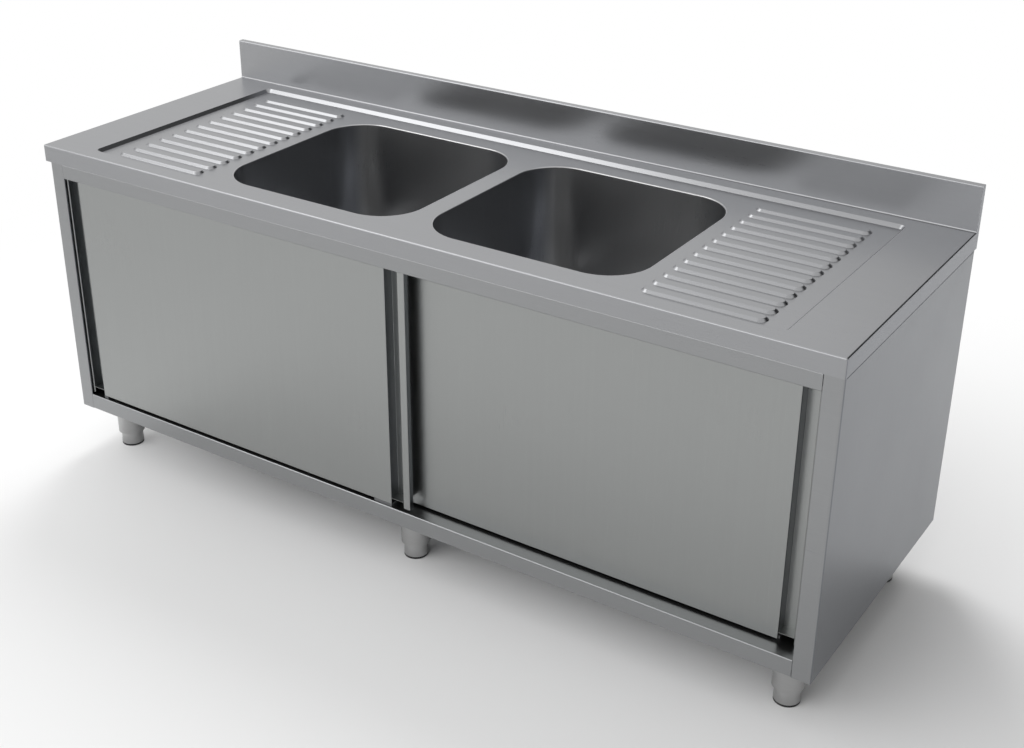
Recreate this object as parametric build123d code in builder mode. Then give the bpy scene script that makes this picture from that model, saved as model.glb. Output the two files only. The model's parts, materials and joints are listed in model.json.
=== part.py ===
from build123d import *
import os

# Catering sink unit: two pressed bowls between two ribbed drainers in a folded
# stainless worktop, on a cabinet with two sliding doors and six levelling legs.
# Millimetres. Origin on the floor under the middle of the worktop,
# X to the right, Y to the back, Z up.

os.makedirs("parts", exist_ok=True)

# ---------------------------------------------------------------- driving sizes
unit_width = 2000
unit_depth = 700
worktop_height = 815  # floor to the top, with the feet screwed right in

worktop_sheet = 1.2
worktop_bend = 3.0  # outside radius of the folded edges
skirt_height = 40
skirt_return = 20  # folded in under the skirt
upstand_height = 100
upstand_thickness = 17

sunk_depth = 8  # the wet area lies this far below the edge
sunk_side_margin = 130
sunk_front_margin = 40
sunk_back_margin = 40  # in front of the upstand
sunk_corner = 15
sunk_slope = 45  # degrees from the vertical
sunk_fillet = 2

bowl_length = 500  # inside, left to right
bowl_depth = 300
bowl_corner = 100
bowl_floor_radius = 45
bowl_sheet = 1.0
bowl_rim = 3  # the mouth is this much wider than the bowl, all round
bowl_mouth_fillet = 2.5
bowl_flange = 12  # welded under the worktop
bowl_between = 54  # from one bowl's wall to the other's
bowl_front_margin = 81  # from the worktop's front to the bowl's wall
bowl_back_margin = 119  # from the bowl's wall to the worktop's back

rib_count = 13
rib_width = 31  # at the foot
rib_height = 5.5
rib_slope = 45  # degrees from the vertical
rib_fillet = 2  # along the foot and the top
rib_front_margin = 78  # worktop's front to the first rib's middle
rib_back_margin = 121.6  # last rib's middle to the worktop's back
rib_bowl_gap = 36  # from a bowl's outer wall to a rib's inner end
rib_outer_margin = 51  # from a rib's outer end to the edge of the sunk area

waste_back_margin = 100  # from the middle of the waste to the bowl's back wall
waste_dish_radius = 43
waste_dish_depth = 3
waste_flange_gap = 1  # round the flange, in its dish
waste_flange_thickness = 2
waste_hole_gap = 1
waste_body_radius = 26.9  # G 1 3/4 thread for the lock nut
waste_body_length = 15  # below the bowl's dish
waste_pipe_radius = 23.9  # G 1 1/2 outside thread for the trap
waste_pipe_wall = 2.9
waste_pipe_length = 45
waste_bar = 3
waste_bar_root = 1  # each bar's end runs into the flange
waste_seal_radius = 38
waste_seal_thickness = 3
waste_nut_radius = 36
waste_nut_thickness = 10

panel_sheet = 1.0
panel_bend = 1.5  # middle line of the folds
corner_bend = 4  # middle line of the cabinet's front corners
side_top_bend = 2.5  # middle line of the fold along a side's top
cabinet_side_recess = 8
cabinet_shift = 8  # the cabinet sits this far right of the worktop's middle
cabinet_front_recess = 1
cabinet_back_recess = 12
leg_gap = 125  # floor to the cabinet
jamb_width = 40
jamb_lip = 4
side_flange = 25
flange_relief = 1  # from a side's fold to the end of its flange
top_rail_height = 35  # seen below the skirt
bottom_rail_height = 39.5
rail_return = 20
rail_lip = 10
rail_flange_margin = 3  # behind the rear hangers
rear_flange = 20
shelf_drop = 1  # the shelf lies under the bottom rail's top
shelf_front_gap = 1
bottom_rail_depth = 75

door_thickness = 28.6
door_recess = 6  # front door's face behind the cabinet's front
door_gap = 3.4  # between the two doors
door_overlap = 101  # one closed door over the other
door_open_margin = 9  # what an open door keeps of its overlap
door_end_gap = 3  # from a face's fold to the returns behind it
door_floor_gap = 6.5  # above the bottom rail
door_top_lap = 5  # behind the top rail
front_door_lap = 12  # behind the left jamb
rear_door_lap = 3  # behind the right jamb
door_lip = 18  # strip outside the finger channel
door_lip_return = 12.5
channel_width = 33
channel_notch = 14  # open foot of the finger channel
channel_notch_gap = 0.5
channel_notch_setback = 2.5
channel_end_setback = 0.5
guide_slot_front = 15  # from the door's face
guide_slot_width = 7
damping_thickness = 4
damping_margin = 8

track_sheet = 1.5
track_bend = 1.5
track_drop = 24.5  # from the top rail's flange to the underside of the running ledge
track_flange = 12
track_ledge = 17.5  # door's face to the ledge's lip
track_stand_off = 5  # in front of the door's face
track_lip = 4.5
track_screw_shift = 1  # behind the middle of the track's flange
track_stop_length = 15
track_stop_height = 16
track_screw_count = 5

roller_radius = 10
roller_width = 7
roller_inset = 120  # roller from the door's end
roller_clearance = 0.3
roller_face_offset = 8  # door's face to the roller
roller_fillet = 1
axle_radius = 3
axle_head_radius = 5
axle_head_thickness = 2
axle_collar_radius = 4.5
axle_collar_thickness = 0.8
hanger_width = 40
hanger_sheet = 2
hanger_face_offset = 19
hanger_foot_setback = 6
hanger_screw_setback = 11
hanger_screw_spacing = 24
hanger_screw_tip = 3  # below the door's top
hanger_top_margin = 6
screw_radius = 2
screw_head_radius = 3.8
screw_head_height = 1.8

guide_length = 48
guide_middle_x = -21
guide_fin_thickness = 3
guide_fin_length = 30
guide_fin_height = 8
guide_fin_offset = 17  # door's face to the fin
guide_screw_spacing = 24
guide_screw_tip = 2  # below the shelf
middle_guide_tail = 23  # behind the rear door's face
middle_guide_screw_setback = 6  # in front of the rear door's face
end_guide_length = 13
end_guide_depth = 22
rear_guide_setback = 12
front_guide_screw_setback = 8  # from the front of its guide
rear_guide_screw_setback = 18

leg_side_inset = 74
leg_front_inset = 85
leg_back_inset = 96
leg_plate = 90
leg_plate_thickness = 3
leg_plate_corner = 8
collar_radius = 36.5
collar_height = 25
tube_radius = 33
tube_wall = 1.5
foot_height = 37  # bottom of the tube above the floor
foot_radius = 27.7
foot_neck_radius = 27
foot_edge = 1.5
foot_travel = 50
pad_thickness = 5
pad_inset = 0.2
pad_fillet = 0.8
stem_radius = 8
stem_hold = 16  # what the insert holds of the stem, with the foot right down
insert_height = 18
leg_bolt_radius = 3
leg_bolt_head_radius = 5.5
leg_bolt_head_height = 4
leg_bolt_tip = 5
leg_bolt_spacing_x = 72
leg_bolt_spacing_y = 52

base_channel_width = 70
base_channel_sheet = 1.5
hat_width = 60
hat_crown = 30
hat_height = 22
stiffener_inset = 58  # from the ends of the ribs to a stiffener's middle
stiffener_margin = 20  # from the edge of the sunk area
shelf_hat_x = (330, 660)

fit_gap = 0.1  # between pieces that are pushed or welded together
seam_gap = 0.3  # at the visible joints of the cabinet's front
running_gap = 0.05  # round an axle

# ------------------------------------------------------------ places worked out
half_width = unit_width / 2
front_y = -unit_depth / 2
back_y = unit_depth / 2
top_z = worktop_height
skirt_z = top_z - skirt_height
upstand_front_y = back_y - upstand_thickness
sunk_z = top_z - sunk_depth
sunk_under_z = sunk_z - worktop_sheet

bowl_width = unit_depth - bowl_front_margin - bowl_back_margin
bowl_x = (bowl_between + bowl_length) / 2
bowl_y = front_y + bowl_front_margin + bowl_width / 2
bowl_floor_z = sunk_z - bowl_depth
waste_y = bowl_y + bowl_width / 2 - waste_back_margin
dish_z = bowl_floor_z - waste_dish_depth
dish_under_z = dish_z - bowl_sheet

rib_outer_x = half_width - sunk_side_margin - rib_outer_margin
rib_inner_x = bowl_between / 2 + bowl_length + rib_bowl_gap
rib_length = rib_outer_x - rib_inner_x
rib_pitch = (unit_depth - rib_front_margin - rib_back_margin) / (rib_count - 1)

cabinet_width = unit_width - 2 * cabinet_side_recess
cabinet_left = cabinet_shift - cabinet_width / 2
cabinet_right = cabinet_shift + cabinet_width / 2
cabinet_front = front_y + cabinet_front_recess
cabinet_back = back_y - cabinet_back_recess
cabinet_z = leg_gap
cabinet_top_z = skirt_z
opening_left = cabinet_left + jamb_width
opening_right = cabinet_right - jamb_width
opening_top_z = cabinet_top_z - top_rail_height
rail_z = cabinet_z + bottom_rail_height
shelf_z = rail_z - shelf_drop

front_door_y = cabinet_front + door_recess
rear_door_y = front_door_y + door_thickness + door_gap
door_z = rail_z + door_floor_gap
door_top_z = opening_top_z + door_top_lap
front_door_x = opening_left - front_door_lap
rear_door_end = opening_right + rear_door_lap
door_width = (rear_door_end - front_door_x + door_overlap) / 2
door_travel = door_width - door_overlap - door_open_margin
rear_door_x = rear_door_end - door_width

track_top_z = cabinet_top_z - panel_sheet
track_under_z = track_top_z - track_drop
ledge_z = track_under_z + track_sheet
axle_z = ledge_z + roller_clearance + roller_radius
hanger_top_z = axle_z + hanger_top_margin
rear_axle_end_y = rear_door_y + hanger_face_offset + hanger_sheet + axle_head_thickness
rail_flange_y = rear_axle_end_y + rail_flange_margin

base_z = cabinet_z + panel_sheet
leg_xs = (cabinet_left + leg_side_inset, cabinet_shift, cabinet_right - leg_side_inset)
leg_front_y = cabinet_front + leg_front_inset
leg_back_y = cabinet_back - leg_back_inset
plate_z = base_z - leg_plate_thickness


def save(piece, name):
    """Label a finished piece and write it to its own file."""
    piece.part.label = name
    export_step(piece.part, f"parts/{name}.step")


def block(x_range, y_range, z_range, mode=Mode.ADD):
    """Straight-sided block between two values on each axis."""
    size = [high - low for low, high in (x_range, y_range, z_range)]
    middle = [(high + low) / 2 for low, high in (x_range, y_range, z_range)]
    with Locations(tuple(middle)):
        Box(*size, mode=mode)


def disc(centre, radius, z_range, mode=Mode.ADD):
    """Upright cylinder between two heights."""
    with Locations((centre[0], centre[1], (z_range[0] + z_range[1]) / 2)):
        Cylinder(radius, z_range[1] - z_range[0], mode=mode)


def bar_along_y(x, y_range, z, radius, mode=Mode.ADD):
    """Cylinder lying front to back."""
    with Locations(Location((x, (y_range[0] + y_range[1]) / 2, z), (90, 0, 0))):
        Cylinder(radius, y_range[1] - y_range[0], mode=mode)


def bent_sheet(points, radii, thickness):
    """Section of a folded sheet about its middle line."""
    with BuildLine() as middle_line:
        FilletPolyline(*points, radius=radii)
    trace(middle_line.line, line_width=thickness)


def rounded_block(length, width, corner, z_range, centre, mode=Mode.ADD):
    """Upright block with rounded corners in plan."""
    with BuildSketch(Plane.XY.offset(z_range[0]), mode=Mode.PRIVATE) as plan:
        with Locations(centre):
            RectangleRounded(length, width, corner)
    extrude(plan.sketch, amount=z_range[1] - z_range[0], mode=mode)


# --------------------------------------------------------------------- worktop
def tray_form(inset, rear, low_z):
    """Worktop's closed form without the upstand, drawn in by inset all round."""
    bend = worktop_bend - inset
    with BuildPart() as tray:
        block(
            (-half_width + inset, half_width - inset),
            (front_y + inset, rear),
            (low_z, top_z - inset),
        )
        fillet(tray.edges().filter_by(Axis.Z).group_by(Axis.Y)[0], bend)
        rim = tray.faces().sort_by(Axis.Z)[-1].edges()
        fillet(rim - rim.group_by(Axis.Y)[-1], bend)
    return tray.part


def upstand_form(inset, length, low_z):
    """Upstand's closed form, drawn in by inset."""
    with BuildPart() as form:
        block(
            (-length / 2, length / 2),
            (upstand_front_y + inset, back_y - inset),
            (low_z, top_z + upstand_height - inset),
        )
        long_edges = form.edges().filter_by(Axis.X).group_by(Axis.Z)[-1]
        fillet(long_edges, worktop_bend - inset)
    return form.part


def rib_form(inset):
    """Flat-topped bar along X with sloping sides and round ends, from the foot up."""
    with BuildPart() as bar:
        with BuildSketch():
            SlotOverall(rib_length - 2 * inset, rib_width - 2 * inset)
        extrude(amount=rib_height, taper=rib_slope)
    return bar.part


def sunk_form(inset, depth):
    """Sloping-sided block of the sunk area, from the top surface down."""
    length = unit_width - 2 * sunk_side_margin - 2 * inset
    low_y = front_y + sunk_front_margin
    high_y = upstand_front_y - sunk_back_margin
    plane = Plane(origin=(0, (low_y + high_y) / 2, top_z), z_dir=(0, 0, -1))
    with BuildPart() as form:
        with BuildSketch(plane):
            RectangleRounded(length, high_y - low_y - 2 * inset, sunk_corner - inset)
        extrude(amount=depth, taper=sunk_slope)
    return form.part


tray_outside = tray_form(0, upstand_front_y + worktop_sheet, skirt_z)
tray_inside = tray_form(worktop_sheet, back_y - worktop_sheet, skirt_z + worktop_sheet)
upstand_outside = upstand_form(0, unit_width, skirt_z)
upstand_inside = upstand_form(worktop_sheet, unit_width, top_z - worktop_sheet)
slope_wall = worktop_sheet * 2**0.5
sunk_outside = sunk_form(-slope_wall, sunk_depth + worktop_sheet)
sunk_inside = sunk_form(0, sunk_depth)
rib_outside = rib_form(0)
rib_inside = rib_form(worktop_sheet * (2**0.5 - 1))
rib_middle_x = (rib_inner_x + rib_outer_x) / 2
rib_middle_y = (front_y + rib_front_margin + back_y - rib_back_margin) / 2

with BuildPart() as worktop:
    add(tray_outside)
    add(upstand_outside)
    # Rounded fold where the sheet turns up into the upstand.
    with BuildSketch(Plane.YZ.offset(-half_width)):
        with Locations((upstand_front_y - worktop_bend / 2, top_z + worktop_bend / 2)):
            Rectangle(worktop_bend, worktop_bend)
        with Locations((upstand_front_y - worktop_bend, top_z + worktop_bend)):
            Circle(worktop_bend, mode=Mode.SUBTRACT)
    extrude(amount=unit_width)
    add(tray_inside, mode=Mode.SUBTRACT)
    add(upstand_inside, mode=Mode.SUBTRACT)
    block(
        (-half_width + skirt_return, half_width - skirt_return),
        (front_y + skirt_return, back_y - skirt_return),
        (skirt_z, skirt_z + worktop_sheet),
        mode=Mode.SUBTRACT,
    )
    add(sunk_outside)
    add(sunk_inside, mode=Mode.SUBTRACT)
    step_edges = worktop.edges().filter_by(
        lambda edge: abs(edge.center().Z - top_z) < 0.01
        and abs(edge.center().X) < half_width - sunk_side_margin + 1
        and edge.center().Y > front_y + sunk_front_margin - 1
        and edge.center().Y < upstand_front_y - sunk_back_margin + 1
    )
    fillet(step_edges, sunk_fillet)
    for side in (-1, 1):
        rounded_block(
            bowl_length + 2 * bowl_rim,
            bowl_width + 2 * bowl_rim,
            bowl_corner + bowl_rim,
            (sunk_under_z, sunk_z),
            (side * bowl_x, bowl_y),
            mode=Mode.SUBTRACT,
        )
    with Locations((0, rib_middle_y, sunk_z)):
        with GridLocations(2 * rib_middle_x, rib_pitch, 2, rib_count):
            add(rib_outside)
    with Locations((0, rib_middle_y, sunk_under_z)):
        with GridLocations(2 * rib_middle_x, rib_pitch, 2, rib_count):
            add(rib_inside, mode=Mode.SUBTRACT)
    for bend_z in (sunk_z, sunk_z + rib_height):
        rib_bends = worktop.edges().filter_by(
            lambda edge: abs(edge.center().Z - bend_z) < 0.01
            and rib_inner_x - 1 < abs(edge.center().X) < rib_outer_x + 1
            and abs(edge.center().Y - rib_middle_y) < rib_pitch * rib_count / 2
        )
        fillet(rib_bends, rib_fillet)
save(worktop, "worktop")

with BuildPart() as upstand_end_caps:
    for side in (-1, 1):
        inner_x = side * (half_width - worktop_sheet)
        block(
            sorted((inner_x, side * half_width)),
            (upstand_front_y + worktop_sheet + fit_gap, back_y - worktop_sheet - fit_gap),
            (top_z - worktop_sheet + fit_gap, top_z + upstand_height - worktop_sheet - fit_gap),
        )
    cap_tops = upstand_end_caps.edges().filter_by(Axis.X).group_by(Axis.Z)[-1]
    fillet(cap_tops, worktop_bend - worktop_sheet)
save(upstand_end_caps, "upstand_end_caps")


# ----------------------------------------------------------------------- bowls
def make_bowl(centre_x, name):
    """Deep bowl with rounded corners, a rolled mouth, a flange and a dish for the waste."""
    centre = (centre_x, bowl_y)
    outer_length = bowl_length + 2 * bowl_sheet
    outer_width = bowl_width + 2 * bowl_sheet
    mouth_length = bowl_length + 2 * (bowl_rim - fit_gap)
    mouth_width = bowl_width + 2 * (bowl_rim - fit_gap)
    with BuildPart() as hollow:
        rounded_block(bowl_length, bowl_width, bowl_corner, (bowl_floor_z, sunk_z), centre)
        fillet(hollow.faces().sort_by(Axis.Z)[0].edges(), bowl_floor_radius)
    with BuildPart() as bowl:
        rounded_block(
            outer_length,
            outer_width,
            bowl_corner + bowl_sheet,
            (bowl_floor_z - bowl_sheet, sunk_z),
            centre,
        )
        fillet(bowl.faces().sort_by(Axis.Z)[0].edges(), bowl_floor_radius + bowl_sheet)
        rounded_block(
            mouth_length,
            mouth_width,
            bowl_corner + bowl_rim - fit_gap,
            (sunk_z - bowl_rim - bowl_sheet, sunk_z),
            centre,
        )
        rounded_block(
            bowl_length + 2 * (bowl_rim + bowl_flange),
            bowl_width + 2 * (bowl_rim + bowl_flange),
            bowl_corner + bowl_rim + bowl_flange,
            (sunk_under_z - bowl_sheet, sunk_under_z),
            centre,
        )
        add(hollow.part, mode=Mode.SUBTRACT)
        mouth = bowl.faces().sort_by(Axis.Z)[-1].inner_wires()[0].edges()
        fillet(mouth, bowl_mouth_fillet)
        outlet = (centre_x, waste_y)
        disc(outlet, waste_dish_radius + bowl_sheet, (dish_under_z, bowl_floor_z))
        disc(outlet, waste_dish_radius, (dish_z, bowl_floor_z), mode=Mode.SUBTRACT)
        disc(
            outlet,
            waste_body_radius + waste_hole_gap,
            (dish_under_z, bowl_floor_z),
            mode=Mode.SUBTRACT,
        )
    save(bowl, name)


make_bowl(-bowl_x, "left_bowl")
make_bowl(bowl_x, "right_bowl")


def make_waste_flange(centre_x, name):
    """Dished outlet with crossed bars and its threaded pipe."""
    centre = (centre_x, waste_y)
    bore = waste_pipe_radius - waste_pipe_wall
    flange_top_z = dish_z + waste_flange_thickness
    body_z = dish_under_z - waste_body_length
    pipe_z = body_z - waste_pipe_length
    with BuildPart() as waste:
        disc(centre, waste_dish_radius - waste_flange_gap, (dish_z, flange_top_z))
        disc(centre, waste_body_radius, (body_z, dish_z))
        disc(centre, waste_pipe_radius, (pipe_z, body_z))
        disc(centre, bore, (pipe_z, flange_top_z), mode=Mode.SUBTRACT)
        bar_reach = bore + waste_bar_root
        for half_x, half_y in ((bar_reach, waste_bar / 2), (waste_bar / 2, bar_reach)):
            block(
                (centre_x - half_x, centre_x + half_x),
                (waste_y - half_y, waste_y + half_y),
                (dish_z, flange_top_z),
            )
    save(waste, name)


make_waste_flange(-bowl_x, "left_waste_flange")
make_waste_flange(bowl_x, "right_waste_flange")

seal_z = dish_under_z - waste_seal_thickness
with BuildPart() as waste_seals:
    for side in (-1, 1):
        centre = (side * bowl_x, waste_y)
        disc(centre, waste_seal_radius, (seal_z, dish_under_z))
        disc(centre, waste_body_radius + fit_gap, (seal_z, dish_under_z), mode=Mode.SUBTRACT)
save(waste_seals, "waste_seals")

with BuildPart() as waste_nuts:
    with BuildSketch(Plane.XY.offset(seal_z - waste_nut_thickness)):
        with Locations((-bowl_x, waste_y), (bowl_x, waste_y)):
            RegularPolygon(waste_nut_radius, 8)
            Circle(waste_body_radius + fit_gap, mode=Mode.SUBTRACT)
    extrude(amount=waste_nut_thickness)
save(waste_nuts, "waste_nuts")


# ------------------------------------------------------------------ stiffeners
def hat_section(top_z_of_hat, height, thickness):
    """Hat channel hanging below a sheet: two flanges and a crown below them."""
    flange_z = top_z_of_hat - thickness / 2
    crown_z = flange_z - height
    half_crown = hat_crown / 2
    half_hat = hat_width / 2
    points = (
        (-half_hat, flange_z),
        (-half_crown, flange_z),
        (-half_crown, crown_z),
        (half_crown, crown_z),
        (half_crown, flange_z),
        (half_hat, flange_z),
    )
    bent_sheet(points, panel_bend, thickness)


def hats(x_places, y_range, top_z_of_hats, height):
    """Hat channels running front to back."""
    with BuildPart() as group:
        for x in x_places:
            plane = Plane(origin=(x, y_range[1], 0), x_dir=(1, 0, 0), z_dir=(0, -1, 0))
            with BuildSketch(plane):
                hat_section(top_z_of_hats, height, panel_sheet)
            extrude(amount=y_range[1] - y_range[0])
    return group


stiffener_xs = (rib_inner_x + stiffener_inset, rib_outer_x - stiffener_inset)
stiffener_places = [side * x for side in (-1, 1) for x in stiffener_xs]
stiffener_y = (
    front_y + sunk_front_margin + stiffener_margin,
    upstand_front_y - sunk_back_margin - stiffener_margin,
)
worktop_stiffeners = hats(stiffener_places, stiffener_y, sunk_under_z, hat_height)
save(worktop_stiffeners, "worktop_stiffeners")


# --------------------------------------------------------------------- cabinet
def make_side_panel(outer_x, inward, name):
    """Side with its front jamb, rear return and flanges along the top and the foot."""
    half_sheet = panel_sheet / 2
    wall_x = outer_x + inward * half_sheet
    jamb_x = outer_x + inward * (jamb_width - half_sheet)
    front = cabinet_front + half_sheet
    rear = cabinet_back - half_sheet
    points = (
        (jamb_x, cabinet_front + jamb_lip),
        (jamb_x, front),
        (wall_x, front),
        (wall_x, rear),
        (outer_x + inward * side_flange, rear),
    )
    with BuildPart() as panel:
        with BuildSketch(Plane.XY.offset(cabinet_z)):
            bent_sheet(points, [panel_bend, corner_bend, panel_bend], panel_sheet)
        extrude(amount=cabinet_top_z - cabinet_z)
        flange_x = sorted((outer_x, outer_x + inward * side_flange))
        flange_y = (
            cabinet_front + corner_bend + flange_relief,
            cabinet_back - panel_bend - flange_relief,
        )
        block(flange_x, flange_y, (cabinet_z, cabinet_z + panel_sheet))
        # The wider fold along the top leaves a groove under the worktop's skirt.
        fold_z = cabinet_top_z - half_sheet - side_top_bend
        top_line = (
            (wall_x, fold_z - half_sheet),
            (wall_x, cabinet_top_z - half_sheet),
            (outer_x + inward * side_flange, cabinet_top_z - half_sheet),
        )
        wall_range = sorted((outer_x, outer_x + inward * panel_sheet))
        block(
            wall_range,
            flange_y,
            (fold_z - half_sheet, cabinet_top_z),
            mode=Mode.SUBTRACT,
        )
        with BuildSketch(Plane.XZ.offset(-flange_y[1])):
            bent_sheet(top_line, side_top_bend, panel_sheet)
        extrude(amount=flange_y[1] - flange_y[0])
    save(panel, name)


make_side_panel(cabinet_left, 1, "left_side_panel")
make_side_panel(cabinet_right, -1, "right_side_panel")

back_web_y = cabinet_back - 1.5 * panel_sheet
with BuildPart() as back_panel:
    back_points = (
        (back_web_y - rear_flange, cabinet_z + 0.5 * panel_sheet),
        (back_web_y, cabinet_z + 0.5 * panel_sheet),
        (back_web_y, cabinet_top_z - 0.5 * panel_sheet),
        (back_web_y - rear_flange, cabinet_top_z - 0.5 * panel_sheet),
    )
    flange_clear = side_flange + seam_gap
    with BuildSketch(Plane.YZ.offset(cabinet_left + flange_clear)):
        bent_sheet(back_points, panel_bend, panel_sheet)
    extrude(amount=cabinet_width - 2 * flange_clear)
    web_clear = panel_sheet + panel_bend
    block(
        (cabinet_left + web_clear, cabinet_right - web_clear),
        (back_web_y - panel_sheet / 2, back_web_y + panel_sheet / 2),
        (cabinet_z + 2 * panel_sheet, cabinet_top_z - 2 * panel_sheet),
    )
save(back_panel, "back_panel")

rail_low_x = opening_left + seam_gap
rail_length = opening_right - opening_left - 2 * seam_gap
web_y = cabinet_front + panel_sheet / 2
track_screw_pitch = rail_length / track_screw_count
track_screw_xs = [
    rail_low_x + track_screw_pitch * (index + 0.5) for index in range(track_screw_count)
]
track_screw_offset = track_flange / 2 - track_stand_off + track_screw_shift

with BuildPart() as top_rail:
    rail_top_line = cabinet_top_z - panel_sheet / 2
    top_rail_points = (
        (web_y + jamb_lip, opening_top_z + panel_sheet / 2),
        (web_y, opening_top_z + panel_sheet / 2),
        (web_y, rail_top_line),
        (rail_flange_y, rail_top_line),
        (rail_flange_y, rail_top_line - rail_lip),
    )
    with BuildSketch(Plane.YZ.offset(rail_low_x)):
        bent_sheet(top_rail_points, panel_bend, panel_sheet)
    extrude(amount=rail_length)
    for door_y in (front_door_y, rear_door_y):
        for x in track_screw_xs:
            disc(
                (x, door_y + track_screw_offset),
                screw_radius + fit_gap,
                (track_top_z, cabinet_top_z),
                mode=Mode.SUBTRACT,
            )
save(top_rail, "top_rail")


def make_track(door_y, name):
    """Hanging rail: flange under the top rail, drop web, running ledge and lip."""
    half_sheet = track_sheet / 2
    web = door_y - track_stand_off + half_sheet
    points = (
        (door_y - track_stand_off + track_flange, track_top_z - half_sheet),
        (web, track_top_z - half_sheet),
        (web, track_under_z + half_sheet),
        (door_y + track_ledge - half_sheet, track_under_z + half_sheet),
        (door_y + track_ledge - half_sheet, track_under_z + track_lip),
    )
    with BuildPart() as track:
        with BuildSketch(Plane.YZ.offset(rail_low_x)):
            bent_sheet(points, track_bend, track_sheet)
        extrude(amount=rail_length)
        for x in track_screw_xs:
            disc(
                (x, door_y + track_screw_offset),
                screw_radius + fit_gap,
                (track_top_z - track_sheet, track_top_z),
                mode=Mode.SUBTRACT,
            )
    save(track, name)


make_track(front_door_y, "front_track")
make_track(rear_door_y, "rear_track")

with BuildPart() as track_screws:
    for door_y in (front_door_y, rear_door_y):
        for x in track_screw_xs:
            centre = (x, door_y + track_screw_offset)
            head_z = track_top_z - track_sheet
            disc(centre, screw_radius, (head_z, cabinet_top_z))
            disc(centre, screw_head_radius, (head_z - screw_head_height, head_z))
save(track_screws, "track_screws")

front_roller_xs = (front_door_x + roller_inset, front_door_x + door_width - roller_inset)
rear_roller_xs = (rear_door_x + roller_inset, rear_door_x + door_width - roller_inset)
stop_reach = roller_radius + roller_clearance
with BuildPart() as track_stops:
    # Each runs against a roller: at the closed end and at the open end of a door's travel.
    stop_faces = (
        (front_door_y, front_roller_xs[0] - stop_reach, -1),
        (front_door_y, front_roller_xs[1] + door_travel + stop_reach, 1),
        (rear_door_y, rear_roller_xs[1] + stop_reach, 1),
        (rear_door_y, rear_roller_xs[0] - door_travel - stop_reach, -1),
    )
    for door_y, face_x, away in stop_faces:
        block(
            sorted((face_x, face_x + away * track_stop_length)),
            (door_y + roller_face_offset, door_y + roller_face_offset + roller_width),
            (ledge_z, ledge_z + track_stop_height),
        )
save(track_stops, "track_stops")

guide_xs = (
    guide_middle_x - guide_screw_spacing / 2,
    guide_middle_x + guide_screw_spacing / 2,
)
middle_guide_screw_y = rear_door_y - middle_guide_screw_setback
rear_guide_y = rear_door_y + rear_guide_setback
front_end_guide = (
    front_door_x + door_lip + channel_width,
    front_door_x + door_lip + channel_width + end_guide_length,
)
rear_end_guide = (
    rear_door_x + door_width - door_lip - channel_width - end_guide_length,
    rear_door_x + door_width - door_lip - channel_width,
)
guide_screw_places = (
    (guide_xs[0], middle_guide_screw_y),
    (guide_xs[1], middle_guide_screw_y),
    (sum(front_end_guide) / 2, front_door_y + front_guide_screw_setback),
    (sum(rear_end_guide) / 2, rear_guide_y + rear_guide_screw_setback),
)

with BuildPart() as bottom_rail:
    bottom_points = (
        (web_y + rail_return, cabinet_z + panel_sheet / 2),
        (web_y, cabinet_z + panel_sheet / 2),
        (web_y, rail_z - panel_sheet / 2),
        (cabinet_front + bottom_rail_depth, rail_z - panel_sheet / 2),
    )
    with BuildSketch(Plane.YZ.offset(rail_low_x)):
        bent_sheet(bottom_points, panel_bend, panel_sheet)
    extrude(amount=rail_length)
    for place in guide_screw_places:
        disc(place, screw_radius + fit_gap, (shelf_z, rail_z), mode=Mode.SUBTRACT)
save(bottom_rail, "bottom_rail")

shelf_left = cabinet_left + panel_sheet + seam_gap
shelf_right = cabinet_right - panel_sheet - seam_gap
shelf_front = cabinet_front + jamb_lip + shelf_front_gap
shelf_back = back_web_y - panel_sheet / 2 - seam_gap
with BuildPart() as bottom_shelf:
    shelf_xs = (shelf_left, shelf_right)
    shelf_ys = (shelf_front, shelf_back)
    fold_zs = (base_z + panel_bend, shelf_z)
    block(shelf_xs, shelf_ys, (shelf_z - panel_sheet, shelf_z))
    block((shelf_left, shelf_left + panel_sheet), shelf_ys, fold_zs)
    block((shelf_right - panel_sheet, shelf_right), shelf_ys, fold_zs)
    block(shelf_xs, (shelf_back - panel_sheet, shelf_back), fold_zs)
    for place in guide_screw_places:
        disc(
            place,
            screw_radius + fit_gap,
            (shelf_z - panel_sheet, shelf_z),
            mode=Mode.SUBTRACT,
        )
save(bottom_shelf, "bottom_shelf")

shelf_under_z = shelf_z - panel_sheet
base_rows = (leg_front_y, leg_back_y)
bolt_offsets = ((-0.5, -0.5), (0.5, 0.5))
leg_bolt_places = [
    (x + leg_bolt_spacing_x * dx, y + leg_bolt_spacing_y * dy)
    for x in leg_xs
    for y in base_rows
    for dx, dy in bolt_offsets
]
with BuildPart() as base_channels:
    half_sheet = base_channel_sheet / 2
    half_channel = base_channel_width / 2 - half_sheet
    channel_low_x = shelf_left + 2 * panel_sheet
    channel_length = shelf_right - shelf_left - 4 * panel_sheet
    for row_y in base_rows:
        channel_points = (
            (row_y - half_channel, shelf_under_z),
            (row_y - half_channel, base_z + half_sheet),
            (row_y + half_channel, base_z + half_sheet),
            (row_y + half_channel, shelf_under_z),
        )
        with BuildSketch(Plane.YZ.offset(channel_low_x)):
            bent_sheet(channel_points, track_bend, base_channel_sheet)
        extrude(amount=channel_length)
    for place in leg_bolt_places:
        disc(
            place,
            leg_bolt_radius + fit_gap,
            (base_z, base_z + base_channel_sheet),
            mode=Mode.SUBTRACT,
        )
save(base_channels, "base_channels")

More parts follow.
